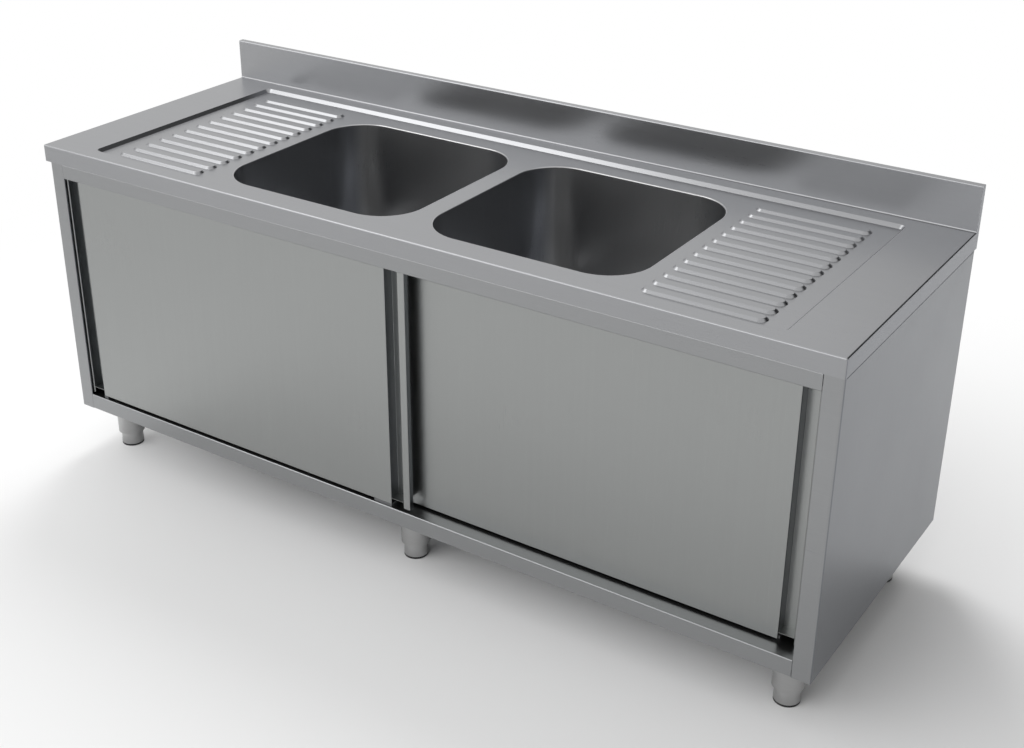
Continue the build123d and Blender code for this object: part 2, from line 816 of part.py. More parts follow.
shelf_hat_places = [side * x for side in (-1, 1) for x in shelf_hat_x]
shelf_hat_y = (
    leg_front_y + base_channel_width / 2 + seam_gap,
    leg_back_y - base_channel_width / 2 - seam_gap,
)
shelf_stiffeners = hats(shelf_hat_places, shelf_hat_y, shelf_under_z, hat_height)
save(shelf_stiffeners, "shelf_stiffeners")

guide_top_z = door_z - roller_clearance
with BuildPart() as door_guides:
    middle_xs = (guide_middle_x - guide_length / 2, guide_middle_x + guide_length / 2)
    middle_ys = (front_door_y, rear_door_y + middle_guide_tail)
    block(middle_xs, middle_ys, (rail_z, guide_top_z))
    block(
        front_end_guide,
        (front_door_y, front_door_y + end_guide_depth),
        (rail_z, guide_top_z),
    )
    block(
        rear_end_guide,
        (rear_guide_y, rear_guide_y + end_guide_depth),
        (rail_z, guide_top_z),
    )
    fin_zs = (guide_top_z, guide_top_z + guide_fin_height)
    fin_xs = (guide_middle_x - guide_fin_length / 2, guide_middle_x + guide_fin_length / 2)
    for door_y, fin_range in (
        (front_door_y, fin_xs),
        (rear_door_y, fin_xs),
        (front_door_y, front_end_guide),
        (rear_door_y, rear_end_guide),
    ):
        fin_y = door_y + guide_fin_offset
        block(fin_range, (fin_y, fin_y + guide_fin_thickness), fin_zs)
    for place in guide_screw_places:
        disc(place, screw_radius + fit_gap, (rail_z, guide_top_z), mode=Mode.SUBTRACT)
        disc(
            place,
            screw_head_radius + fit_gap,
            (guide_top_z - screw_head_height - fit_gap, guide_top_z),
            mode=Mode.SUBTRACT,
        )
save(door_guides, "door_guides")

with BuildPart() as guide_screws:
    head_z = guide_top_z - screw_head_height - fit_gap
    for place in guide_screw_places:
        disc(place, screw_radius, (shelf_under_z - guide_screw_tip, head_z))
        disc(place, screw_head_radius, (head_z, head_z + screw_head_height))
save(guide_screws, "guide_screws")


# ----------------------------------------------------------------------- doors
def make_door(prefix, low_x, face_y, roller_xs):
    """Sliding box door with finger channels, hung on two rollers."""
    high_x = low_x + door_width
    half_sheet = panel_sheet / 2
    floor_y = face_y + door_thickness - panel_sheet - half_sheet
    face_line = face_y + half_sheet
    face_low_x = low_x + door_lip + channel_width
    face_high_x = high_x - door_lip - channel_width
    channels = (
        (low_x + door_lip, face_low_x),
        (face_high_x, high_x - door_lip),
    )
    screw_places = [
        (x + side * hanger_screw_spacing / 2, face_y + hanger_screw_setback)
        for x in roller_xs
        for side in (-1, 1)
    ]

    notch_reach = panel_sheet + channel_notch_gap

    def notch_channels():
        for channel in channels:
            block(
                (channel[0] - notch_reach, channel[1] + notch_reach),
                (face_y + channel_notch_setback, face_y + door_thickness + panel_sheet),
                (door_z, door_z + channel_notch),
                mode=Mode.SUBTRACT,
            )

    with BuildPart() as front:
        left_half = (
            (low_x + half_sheet, face_y + door_lip_return),
            (low_x + half_sheet, face_line),
            (low_x + door_lip - half_sheet, face_line),
            (low_x + door_lip - half_sheet, floor_y),
            (face_low_x + half_sheet, floor_y),
            (face_low_x + half_sheet, face_line),
        )
        right_half = [(low_x + high_x - x, y) for x, y in reversed(left_half)]
        with BuildSketch(Plane.XY.offset(door_z)):
            bent_sheet((*left_half, *right_half), panel_bend, panel_sheet)
        extrude(amount=door_top_z - door_z)
        for low_z in (door_z, door_top_z - panel_sheet):
            block(
                (face_low_x + door_end_gap, face_high_x - door_end_gap),
                (face_y, face_y + guide_slot_front),
                (low_z, low_z + panel_sheet),
            )
        notch_channels()
        for place in screw_places:
            disc(
                place,
                screw_radius + fit_gap,
                (door_top_z - panel_sheet, door_top_z),
                mode=Mode.SUBTRACT,
            )
    save(front, f"{prefix}_door_front")

    with BuildPart() as back:
        web = face_y + door_thickness - half_sheet
        slot_back = face_y + guide_slot_front + guide_slot_width
        back_section = (
            (slot_back, door_z + half_sheet),
            (web, door_z + half_sheet),
            (web, door_top_z - half_sheet),
            (face_y + guide_slot_front + seam_gap, door_top_z - half_sheet),
        )
        with BuildSketch(Plane.YZ.offset(face_low_x + door_end_gap)):
            bent_sheet(back_section, panel_bend, panel_sheet)
        extrude(amount=face_high_x - face_low_x - 2 * door_end_gap)
        block(
            (low_x + door_lip, high_x - door_lip),
            (web - half_sheet, web + half_sheet),
            (door_z + 2 * panel_sheet, door_top_z - 2 * panel_sheet),
        )
        notch_channels()
    save(back, f"{prefix}_door_back")

    with BuildPart() as pad:
        block(
            (face_low_x + damping_margin, face_high_x - damping_margin),
            (face_y + panel_sheet, face_y + panel_sheet + damping_thickness),
            (door_z + damping_margin, door_top_z - damping_margin),
        )
    save(pad, f"{prefix}_door_damping_pad")

    with BuildPart() as channel_ends:
        for channel in channels:
            for low_z in (door_z + channel_notch, door_top_z - panel_sheet):
                block(
                    (channel[0] + fit_gap, channel[1] - fit_gap),
                    (face_y + channel_end_setback, floor_y - half_sheet - fit_gap),
                    (low_z, low_z + panel_sheet),
                )
        rear_corners = channel_ends.edges().filter_by(Axis.Z).group_by(Axis.Y)[-1]
        fillet(rear_corners, panel_bend)
    save(channel_ends, f"{prefix}_door_channel_ends")

    plate_y = face_y + hanger_face_offset
    with BuildPart() as hangers:
        for x in roller_xs:
            hanger_xs = (x - hanger_width / 2, x + hanger_width / 2)
            foot_zs = (door_top_z, door_top_z + hanger_sheet)
            block(hanger_xs, (face_y + hanger_foot_setback, plate_y + hanger_sheet), foot_zs)
            block(hanger_xs, (plate_y, plate_y + hanger_sheet), (door_top_z, hanger_top_z))
            bar_along_y(
                x,
                (plate_y, plate_y + hanger_sheet),
                axle_z,
                axle_radius + running_gap,
                mode=Mode.SUBTRACT,
            )
        for place in screw_places:
            disc(place, screw_radius + fit_gap, foot_zs, mode=Mode.SUBTRACT)
        shoulders = hangers.edges().filter_by(Axis.Y).group_by(Axis.Z)[-1]
        fillet(shoulders, hanger_width / 4)
    save(hangers, f"{prefix}_door_hangers")

    with BuildPart() as hanger_screws:
        head_z = door_top_z + hanger_sheet
        for place in screw_places:
            disc(place, screw_radius, (door_top_z - hanger_screw_tip, head_z))
            disc(place, screw_head_radius, (head_z, head_z + screw_head_height))
    save(hanger_screws, f"{prefix}_door_hanger_screws")

    roller_ys = (face_y + roller_face_offset, face_y + roller_face_offset + roller_width)
    collar_y = roller_ys[0] - roller_clearance
    shoulder_y = roller_ys[1] + roller_clearance
    with BuildPart() as axles:
        for x in roller_xs:
            back_of_plate = plate_y + hanger_sheet
            bar_along_y(x, (collar_y, back_of_plate), axle_z, axle_radius)
            bar_along_y(
                x,
                (back_of_plate, back_of_plate + axle_head_thickness),
                axle_z,
                axle_head_radius,
            )
            # Collar that keeps the roller on, and the shoulder that spaces it.
            bar_along_y(
                x,
                (collar_y - axle_collar_thickness, collar_y),
                axle_z,
                axle_collar_radius,
            )
            bar_along_y(x, (shoulder_y, plate_y), axle_z, axle_collar_radius)
    save(axles, f"{prefix}_door_axles")

    for x, end in zip(roller_xs, ("left", "right")):
        with BuildPart() as roller:
            bar_along_y(x, roller_ys, axle_z, roller_radius)
            rims = roller.edges().filter_by(GeomType.CIRCLE)
            fillet(rims, roller_fillet)
            bar_along_y(
                x,
                roller_ys,
                axle_z,
                axle_radius + running_gap,
                mode=Mode.SUBTRACT,
            )
        save(roller, f"{prefix}_door_{end}_roller")


make_door("left", front_door_x, front_door_y, front_roller_xs)
make_door("right", rear_door_x, rear_door_y, rear_roller_xs)

# ------------------------------------------------------------------------ legs
leg_places = [(x, y) for y in base_rows for x in leg_xs]
leg_names = [f"{row}_{place}" for row in ("front", "back") for place in ("left", "middle", "right")]

with BuildPart() as leg_plates:
    for x, y in leg_places:
        half_plate = leg_plate / 2
        rounded_block(leg_plate, leg_plate, leg_plate_corner, (plate_z, base_z), (x, y))
        disc((x, y), collar_radius, (plate_z - collar_height, plate_z))
        disc((x, y), tube_radius + fit_gap, (plate_z - collar_height, plate_z), mode=Mode.SUBTRACT)
    for place in leg_bolt_places:
        disc(place, leg_bolt_radius + fit_gap, (plate_z, base_z), mode=Mode.SUBTRACT)
save(leg_plates, "leg_plates")

with BuildPart() as leg_tubes:
    for place in leg_places:
        disc(place, tube_radius, (foot_height, plate_z))
        disc(place, tube_radius - tube_wall, (foot_height, plate_z), mode=Mode.SUBTRACT)
save(leg_tubes, "leg_tubes")

with BuildPart() as leg_inserts:
    insert_zs = (foot_height, foot_height + insert_height)
    for place in leg_places:
        disc(place, tube_radius - tube_wall - fit_gap, insert_zs)
        disc(place, stem_radius + fit_gap, insert_zs, mode=Mode.SUBTRACT)
save(leg_inserts, "leg_inserts")

with BuildPart() as leg_bolts:
    for place in leg_bolt_places:
        disc(place, leg_bolt_radius, (plate_z, base_z + base_channel_sheet + leg_bolt_tip))
    with BuildSketch(Plane.XY.offset(plate_z - leg_bolt_head_height)):
        with Locations(leg_bolt_places):
            RegularPolygon(leg_bolt_head_radius, 6)
    extrude(amount=leg_bolt_head_height)
save(leg_bolts, "leg_bolts")

for (x, y), name in zip(leg_places, leg_names):
    with BuildPart() as foot:
        with BuildSketch(Plane(origin=(x, y, 0), x_dir=(1, 0, 0), z_dir=(0, -1, 0))):
            with BuildLine():
                top_of_foot = foot_height - roller_clearance
                stem_top = foot_height + foot_travel + stem_hold
                Polyline(
                    (0, pad_thickness),
                    (foot_radius, pad_thickness),
                    (foot_radius, pad_thickness + foot_edge),
                    (foot_neck_radius, foot_height / 2),
                    (foot_neck_radius, top_of_foot),
                    (stem_radius, top_of_foot),
                    (stem_radius, stem_top),
                    (0, stem_top),
                    (0, pad_thickness),
                )
            make_face()
        revolve(axis=Axis((x, y, 0), (0, 0, 1)))
    save(foot, f"foot_{name}")

    with BuildPart() as pad:
        disc((x, y), foot_radius - pad_inset, (0, pad_thickness))
        fillet(pad.edges().group_by(Axis.Z)[0], pad_fillet)
    save(pad, f"pad_{name}")
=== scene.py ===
"""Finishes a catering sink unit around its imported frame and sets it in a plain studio."""

import json
import math

import bmesh
import bpy
from bpy.props import FloatProperty, FloatVectorProperty, PointerProperty
from mathutils import Matrix, Vector


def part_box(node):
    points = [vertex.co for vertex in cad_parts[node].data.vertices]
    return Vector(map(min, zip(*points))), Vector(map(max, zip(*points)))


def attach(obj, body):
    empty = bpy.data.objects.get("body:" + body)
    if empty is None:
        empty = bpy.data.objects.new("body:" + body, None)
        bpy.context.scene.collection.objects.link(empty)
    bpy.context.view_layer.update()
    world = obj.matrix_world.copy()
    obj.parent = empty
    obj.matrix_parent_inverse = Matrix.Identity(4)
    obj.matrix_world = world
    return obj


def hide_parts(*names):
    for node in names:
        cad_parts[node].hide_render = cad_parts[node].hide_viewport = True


bl_info = {
    "name": "Sink Unit Finisher",
    "version": (1, 0, 0),
    "blender": (4, 5, 0),
    "location": "3D View > Sidebar > Sink Unit",
    "description": "Steel finishes, threads, screws and a studio for a catering sink unit",
    "category": "Object",
}

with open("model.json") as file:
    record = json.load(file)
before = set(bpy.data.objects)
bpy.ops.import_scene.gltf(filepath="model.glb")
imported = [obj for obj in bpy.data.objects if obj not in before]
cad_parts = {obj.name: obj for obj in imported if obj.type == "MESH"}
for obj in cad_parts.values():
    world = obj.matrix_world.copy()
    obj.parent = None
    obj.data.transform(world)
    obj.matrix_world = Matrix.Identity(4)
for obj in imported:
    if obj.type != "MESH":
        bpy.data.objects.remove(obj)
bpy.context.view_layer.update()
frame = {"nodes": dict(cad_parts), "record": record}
nodes = frame["nodes"]

MM = 0.001
SIDES = ("left", "right")
FOOT_PLACES = [
    f"{row}_{place}" for row in ("front", "back") for place in ("left", "middle", "right")
]


# ------------------------------------------------------------------ settings
class SinkSteelSettings(bpy.types.PropertyGroup):
    """Colours and polish of the steel parts."""

    worktop_colour: FloatVectorProperty(
        name="Worktop steel",
        description="Colour of the brushed steel of the worktop",
        subtype="COLOR",
        default=(0.338, 0.342, 0.352),
        min=0,
        max=1,
    )
    bowl_colour: FloatVectorProperty(
        name="Bowl steel",
        description="Colour of the drawn and polished steel of the bowls",
        subtype="COLOR",
        default=(0.465, 0.467, 0.471),
        min=0,
        max=1,
    )
    panel_colour: FloatVectorProperty(
        name="Cabinet steel",
        description="Colour of the brushed steel of the cabinet's sides and rails",
        subtype="COLOR",
        default=(0.308, 0.313, 0.318),
        min=0,
        max=1,
    )
    door_colour: FloatVectorProperty(
        name="Door steel",
        description="Colour of the brushed steel of the sliding doors",
        subtype="COLOR",
        default=(0.326, 0.334, 0.330),
        min=0,
        max=1,
    )
    leg_colour: FloatVectorProperty(
        name="Leg steel",
        description="Colour of the satin tube of the legs and feet",
        subtype="COLOR",
        default=(0.42, 0.42, 0.42),
        min=0,
        max=1,
    )
    zinc_colour: FloatVectorProperty(
        name="Zinc plate",
        description="Colour of the plated tracks, channels and screws inside",
        subtype="COLOR",
        default=(0.44, 0.45, 0.47),
        min=0,
        max=1,
    )
    roughness: FloatProperty(
        name="Brushed roughness",
        description="Mean roughness of the brushed sheet",
        default=0.3,
        min=0.05,
        max=1,
    )


class SinkPlasticSettings(bpy.types.PropertyGroup):
    """Colours of the rubber and plastic parts."""

    rubber_colour: FloatVectorProperty(
        name="Rubber",
        description="Colour of the pads, seals and stops",
        subtype="COLOR",
        default=(0.012, 0.012, 0.013),
        min=0,
        max=1,
    )
    nylon_colour: FloatVectorProperty(
        name="Nylon",
        description="Colour of the moulded guides, nuts, inserts and rollers",
        subtype="COLOR",
        default=(0.09, 0.092, 0.096),
        min=0,
        max=1,
    )
    damping_colour: FloatVectorProperty(
        name="Damping sheet",
        description="Colour of the pad glued behind each door's face",
        subtype="COLOR",
        default=(0.03, 0.03, 0.032),
        min=0,
        max=1,
    )


class SinkStudioSettings(bpy.types.PropertyGroup):
    """Light, floor and camera of the studio."""

    floor_colour: FloatVectorProperty(
        name="Floor",
        description="Colour of the studio floor",
        subtype="COLOR",
        default=(0.8, 0.8, 0.8),
        min=0,
        max=1,
    )
    sky_low: FloatProperty(
        name="Dim side of the sky",
        description="Strength of the sky away from its bright side",
        default=0.6,
        min=0,
    )
    sky_high: FloatProperty(
        name="Bright side of the sky",
        description="Strength of the sky towards the back left",
        default=0.88,
        min=0,
    )
    sky_overhead: FloatProperty(
        name="Sky overhead",
        description="Strength added to the sky high above the horizon",
        default=0.34,
        min=0,
    )
    floor_glow: FloatProperty(
        name="Glow in front",
        description="Strength that the sky in front adds to the light on matt surfaces",
        default=0.88,
        min=0,
    )
    window: FloatProperty(
        name="Front window",
        description="Strength added by the soft window low in front",
        default=1.4,
        min=0,
    )
    softbox_power: FloatProperty(
        name="Softbox power",
        description="Power of the large round lamp that only shows in the steel",
        subtype="POWER",
        unit="POWER",
        default=26,
        min=0,
    )
    floor_lamp_power: FloatProperty(
        name="Floor lamp power",
        description="Power of the lamp that gives the unit its shadow on the floor",
        subtype="POWER",
        unit="POWER",
        default=90,
        min=0,
    )
    focal_length: FloatProperty(
        name="Focal length",
        description="Lens of the camera on a 36 mm sensor, in millimetres",
        default=52.51,
        min=10,
    )
    camera_place: FloatVectorProperty(
        name="Camera place",
        description="Where the camera stands",
        subtype="TRANSLATION",
        unit="LENGTH",
        default=(1.760, -2.5454, 1.9509),
    )
    camera_angles: FloatVectorProperty(
        name="Camera angles",
        description="Turn round the object, height above the horizon and roll",
        subtype="EULER",
        unit="ROTATION",
        default=(0.5903405, 0.4524301, 0.0016443),
    )
    camera_shift: FloatVectorProperty(
        name="Camera shift",
        description="Shift of the picture across and up, in picture widths",
        size=2,
        default=(0.01417, -0.0380),
    )


# ----------------------------------------------------------------- materials
MIX_FIRST, MIX_SECOND, MIX_RESULT = 6, 7, 2  # numbers of the Mix node's colour sockets
WHITE = (1, 1, 1, 1)


class Wire:
    """A socket of a node tree that writes Math nodes when it is used in an expression."""

    def __init__(self, finish, socket):
        self.finish = finish
        self.socket = socket

    def math(self, operation, *values):
        """A Math node of that operation on numbers and wires."""
        return self.finish.node("ShaderNodeMath", {"operation": operation}, values)

    def __add__(self, other):
        return self.math("ADD", self, other)

    def __radd__(self, other):
        return self.math("ADD", other, self)

    def __sub__(self, other):
        return self.math("SUBTRACT", self, other)

    def __rsub__(self, other):
        return self.math("SUBTRACT", other, self)

    def __mul__(self, other):
        return self.math("MULTIPLY", self, other)

    def __rmul__(self, other):
        return self.math("MULTIPLY", other, self)


class Finish:
    """The node tree of one material or of the world."""

    def __init__(self, tree):
        self.tree = tree
        tree.nodes.clear()

    def node(self, kind, settings=None, values=None, output=0):
        """Make a node: its settings first, then the values or wires of its sockets."""
        made = self.tree.nodes.new(kind)
        for key, value in (settings or {}).items():
            if key == "stops":
                self.set_stops(made.color_ramp, value)
            else:
                setattr(made, key, value)
        pairs = values.items() if isinstance(values, dict) else enumerate(values or ())
        for key, value in pairs:
            if isinstance(value, Wire):
                self.tree.links.new(value.socket, made.inputs[key])
            else:
                made.inputs[key].default_value = value
        return Wire(self, made.outputs[output]) if len(made.outputs) else made

    @staticmethod
    def set_stops(ramp, stops):
        """Give a colour ramp grey stops, each a position and a level."""
        while len(ramp.elements) < len(stops):
            ramp.elements.new(1)
        for element, (position, level) in zip(ramp.elements, stops):
            element.position = position
            element.color = (level, level, level, 1)

    def object_place(self):
        """A point's place on the object, in metres."""
        return self.node("ShaderNodeTexCoord", output="Object")

    def noise(self, place, scale, detail, roughness):
        """Cloudy pattern from 0 to 1; its scale is in patches a metre."""
        values = {"Vector": place, "Scale": scale, "Detail": detail, "Roughness": roughness}
        return self.node("ShaderNodeTexNoise", None, values)

    def stretched(self, place, stretch):
        """The place with each axis multiplied, which draws a pattern out along the small one."""
        return self.node("ShaderNodeVectorMath", {"operation": "MULTIPLY"}, (place, stretch))

    def ramp(self, factor, *stops):
        """Grey from stops of a position and a level each."""
        return self.node("ShaderNodeValToRGB", {"stops": stops}, {"Fac": factor})

    def smooth_step(self, value, low, high):
        """A value's soft rise from 0 at the low end to 1 at the high end."""
        values = {"Value": value, "From Min": low, "From Max": high}
        return self.node("ShaderNodeMapRange", {"interpolation_type": "SMOOTHSTEP"}, values)

    def mix(self, factor, first, second):
        """Blend two colours or places, from the first at 0 to the second at 1."""
        values = {"Factor": factor, MIX_FIRST: first, MIX_SECOND: second}
        return self.node("ShaderNodeMix", {"data_type": "RGBA"}, values, output=MIX_RESULT)

    def bump(self, height, strength, distance):
        """Normal of a surface that the height, times the distance in metres, roughens."""
        values = {"Strength": strength, "Distance": distance, "Height": height}
        return self.node("ShaderNodeBump", None, values)


def new_finish(name):
    """An empty material of that name and its node tree."""
    material = bpy.data.materials.new(name)
    material.use_nodes = True
    return material, Finish(material.node_tree)


def close_finish(finish, **values):
    """End a tree in one Principled shader with these socket values."""
    named = {key.replace("_", " "): value for key, value in values.items()}
    shader = finish.node("ShaderNodeBsdfPrincipled", None, named)
    finish.node("ShaderNodeOutputMaterial", None, {"Surface": shader})


def tinted(colour, share, tint=(1, 1, 1)):
    """A colour multiplied by a share and by a tint, with its alpha of 1."""
    return (*(channel * share * part for channel, part in zip(colour, tint)), 1)


GRAIN_ALONG = {"X": (1.0, 60.0, 60.0), "Y": (60.0, 1.0, 60.0), "Z": (60.0, 60.0, 1.0)}
# Painted shade: faces that look left or right keep only this share of the sheet's colour, darker
# and bluer, for the dimmer light they get.
SIDE_PAINTED_SHADE = (0.64, 0.655, 0.69)  # what brushed sheet keeps of its colour on left and right faces


def brushed_steel(name, colour, roughness, grain, side_grain):
    """Brushed sheet: fine grain lines, faint wide bands, soft smears and a few hair scratches.

    The grain runs along one axis, and along side_grain on faces that look left or right. Those
    faces are also painted darker and bluer, as painted shade."""
    material, finish = new_finish(name)
    place = finish.object_place()
    facing = finish.node("ShaderNodeTexCoord", output="Normal")
    across = finish.node("ShaderNodeSeparateXYZ", None, (facing,))
    sideways = finish.ramp(across.math("ABSOLUTE", across), (0.6, 0.0), (0.8, 1.0))
    main_place = finish.stretched(place, GRAIN_ALONG[grain])
    side_place = finish.stretched(place, GRAIN_ALONG[side_grain])
    grain_place = finish.mix(sideways, main_place, side_place)
    fine = finish.noise(grain_place, scale=18.0, detail=4.0, roughness=0.65)
    bands = finish.noise(grain_place, scale=1.6, detail=2.0, roughness=0.5)
    smears = finish.noise(place, scale=3.1, detail=4.0, roughness=0.55)
    scratch_place = finish.node(
        "ShaderNodeMapping",
        None,
        {"Vector": grain_place, "Rotation": (0.02, 0.03, 0.04), "Scale": (0.35, 0.35, 0.35)},
    )
    scratches = finish.noise(scratch_place, scale=30.0, detail=1.0, roughness=0.4)
    hairs = finish.ramp(scratches, (0.71, 0.0), (0.76, 1.0))
    shade = fine * 0.5 + bands * 0.3 + smears * 0.2
    dark, light, bare = 0.94, 1.06, 1.25
    front_base = finish.mix(shade, tinted(colour, dark), tinted(colour, light))
    # Painted shade: the faces that look left or right get a darker, bluer copy of the colour.
    side_dark, side_light = tinted(colour, dark, SIDE_PAINTED_SHADE), tinted(colour, light, SIDE_PAINTED_SHADE)
    side_base = finish.mix(shade, side_dark, side_light)
    base = finish.mix(sideways, front_base, side_base)
    close_finish(
        finish,
        Base_Color=finish.mix(hairs * 0.2, base, tinted(colour, bare)),
        Metallic=1.0,
        Roughness=roughness - 0.09 + fine * 0.08 + smears * 0.1 + hairs * 0.05,
        Normal=finish.bump(fine * 0.7 + hairs * -0.3, strength=0.06, distance=0.0004),
    )
    return material


def satin_tube(name, colour, roughness):
    """Drawn and polished tube: faint rings round it and soft smears."""
    material, finish = new_finish(name)
    place = finish.object_place()
    ring_place = finish.stretched(place, (4.0, 4.0, 90.0))
    rings = finish.noise(ring_place, scale=9.0, detail=3.0, roughness=0.6)
    smears = finish.noise(place, scale=14.0, detail=3.0, roughness=0.5)
    shade = rings * 0.6 + smears * 0.4
    close_finish(
        finish,
        Base_Color=finish.mix(shade, tinted(colour, 0.9), tinted(colour, 1.1)),
        Metallic=1.0,
        Roughness=roughness - 0.06 + rings * 0.07 + smears * 0.08,
        Normal=finish.bump(rings, strength=0.05, distance=0.0003),
    )
    return material


def zinc_plate(name, colour):
    """Plated sheet and fixings: cloudy crystals, dull patches and rolling lines."""
    material, finish = new_finish(name)
    place = finish.object_place()
    crystal_values = {"Vector": place, "Scale": 160.0}
    crystals = finish.node("ShaderNodeTexVoronoi", {"feature": "F1"}, crystal_values, "Color")
    cells = finish.node("ShaderNodeSeparateXYZ", None, (crystals,))
    clouds = finish.noise(place, scale=22.0, detail=5.0, roughness=0.6)
    rolling_place = finish.stretched(place, (1.0, 40.0, 40.0))
    rolling = finish.noise(rolling_place, scale=20.0, detail=2.0, roughness=0.5)
    shade = cells * 0.35 + clouds * 0.4 + rolling * 0.25
    close_finish(
        finish,
        Base_Color=finish.mix(shade, tinted(colour, 0.8), tinted(colour, 1.15)),
        Metallic=1.0,
        Roughness=0.28 + clouds * 0.2 + cells * 0.08,
        Normal=finish.bump(cells * 0.3 + rolling * 0.7, strength=0.08, distance=0.0003),
    )
    return material


def polished_steel(name, colour):
    """Turned fitting: bright rings with water stains in them."""
    material, finish = new_finish(name)
    place = finish.object_place()
    stains = finish.noise(place, scale=60.0, detail=5.0, roughness=0.6)
    turning_place = finish.stretched(place, (1.0, 1.0, 30.0))
    turning = finish.noise(turning_place, scale=40.0, detail=2.0, roughness=0.5)
    marks = finish.ramp(stains, (0.45, 0.0), (0.7, 1.0))
    close_finish(
        finish,
        Base_Color=finish.mix(marks, tinted(colour, 1.05), tinted(colour, 0.86)),
        Metallic=1.0,
        Roughness=0.13 + marks * 0.14 + turning * 0.06,
        Normal=finish.bump(turning, strength=0.05, distance=0.0002),
    )
    return material


def moulded(name, colour, roughness, grain_scale, bump):
    """Rubber or nylon: fine moulded grain and patches of dust."""
    material, finish = new_finish(name)
    place = finish.object_place()
    grain = finish.noise(place, grain_scale, detail=3.0, roughness=0.6)
    specks = finish.noise(place, scale=35.0, detail=5.0, roughness=0.65)
    dust = finish.ramp(specks, (0.5, 0.0), (0.75, 1.0))
    close_finish(
        finish,
        Base_Color=finish.mix(dust * 0.35, tinted(colour, 1.0), tinted(colour, 2.2)),
        Roughness=roughness + grain * 0.1 + dust * 0.1,
        Normal=finish.bump(grain, bump, distance=0.0004),
    )
    return material


def make_materials(steel, plastic):
    """Every finish by the record's slot names, and the bowls' own."""
    polish = steel.roughness
    rubber, nylon, damping = plastic.rubber_colour, plastic.nylon_colour, plastic.damping_colour
    return {
        "satin_steel": brushed_steel("worktop_steel", steel.worktop_colour, polish, "X", "Y"),
        "bowl_steel": brushed_steel("bowl_steel", steel.bowl_colour, polish, "Z", "Z"),
        "panel_steel": brushed_steel("cabinet_steel", steel.panel_colour, polish, "X", "Z"),
        "door_steel": brushed_steel("door_steel", steel.door_colour, polish, "Z", "Z"),
        "leg_steel": satin_tube("leg_satin", steel.leg_colour, roughness=0.32),
        "fitting_steel": zinc_plate("zinc_plate", steel.zinc_colour),
        "waste_steel": polished_steel("waste_polish", steel.zinc_colour),
        "rubber": moulded("rubber", rubber, roughness=0.55, grain_scale=900.0, bump=0.25),
        "nylon": moulded("nylon", nylon, roughness=0.42, grain_scale=700.0, bump=0.15),
        "damping": moulded("damping_sheet", damping, roughness=0.8, grain_scale=500.0, bump=0.4),
    }


MATERIALS = {}  # filled by the operator that makes the finishes


def finish_nodes(names, finish_name=None):
    """Give CAD nodes one finish, or that of their slot in the record."""
    slots = {part["node"]: part["material_slot"] for part in frame["record"]["subparts"]}
    for name in names:
        mesh = nodes[name].data
        mesh.materials.clear()
        mesh.materials.append(MATERIALS[finish_name or slots[name]])


# ------------------------------------------------------------------- meshing
SHARP_ANGLE = math.radians(35)
ORDER_DIGITS = 5  # solids are put in order by their corners, rounded to a hundredth of a mm
HEXAGON = 6
UP, DOWN = 1, -1

# Sizes of the turned and welded pieces in mm. A head, washer, shank, pipe, collar, root or crest
# without HEIGHT, SHEET or LENGTH in its name is a radius, and a SHARE is of the size it follows.
SAME_POINT = 0.01  # corners of a CAD solid that are nearer than this are one
SAME_TURNED_POINT = 0.001

SCREW_HEAD = 3.8
SCREW_HEAD_HEIGHT = 1.8
SCREW_CROWN = ((1.0, 0.3), (0.94, 0.62), (0.8, 0.88), (0.62, 1.0))  # shares of radius and height
SCREW_SOCKET_SHARE = 0.45
SCREW_SOCKET_DEPTH_SHARE = 0.6
SCREW_SHANK = 2.0
SCREW_TIP_SHARE = 0.6
SCREW_TIP_HEIGHT = 0.6
SCREW_STEPS = 24
SCREW_SETS = {  # CAD node, the body it rides on and which way its heads look
    "track_screws": ("cabinet", DOWN),
    "guide_screws": ("cabinet", UP),
    "left_door_hanger_screws": ("left_door", UP),
    "right_door_hanger_screws": ("right_door", UP),
}

BOLT_HEAD = 5.5
BOLT_HEAD_HEIGHT = 4.0  # with the washer
BOLT_CHAMFER = 0.6
BOLT_SHANK = 3.0
BOLT_WASHER = 6.0
BOLT_WASHER_SHEET = 0.8
BOLT_STEPS = 24

THREAD_FLANK_SHARE = 0.44  # half of the ridge's foot
THREAD_LAND_SHARE = 0.12  # half of its crest
THREAD_DEPTH = 0.4  # how far the ridge reaches in from its foot
THREAD_SUNK = 0.1  # how far the ridge's foot lies under the shank's face

FOOT_STEPS = 64
FOOT_BODY = 31.7
FOOT_CORNER = 0.4
FOOT_EDGE = 1.5
FOOT_TAPER = 0.7
FOOT_TAPER_HEIGHT = 13.5
FOOT_ROUND = 0.8
FOOT_ROUND_MIDDLE = 0.25
STEM_ROOT = 7.0
STEM_CREST = 7.95
STEM_PITCH = 2.0
STEM_STEPS = 18
STEM_GROOVE = 1.5
STEM_CHAMFER = 0.8
STEM_THREAD_GAP = 0.4

WASTE_FLANGES = ("left_waste_flange", "right_waste_flange")
PIPE_RADIUS = 23.9
PIPE_LENGTH = 45.0
PIPE_THREAD_HEIGHT = 0.35
PIPE_THREAD_PITCH = 2.31
PIPE_THREAD_GAP = 1.0
PIPE_THREAD_STEPS = 48

COLLAR = 36.5
PLATE_SHEET = 3.0
BEAD = 1.6  # leg of the weld between a leg's collar and its plate
BEAD_SUNK = 0.3
BEAD_FACE = ((0.7, 0.45), (0.4, 0.75))  # shares out from the collar and down from the plate
BEAD_RIPPLES = 90
BEAD_RIPPLE = 0.2


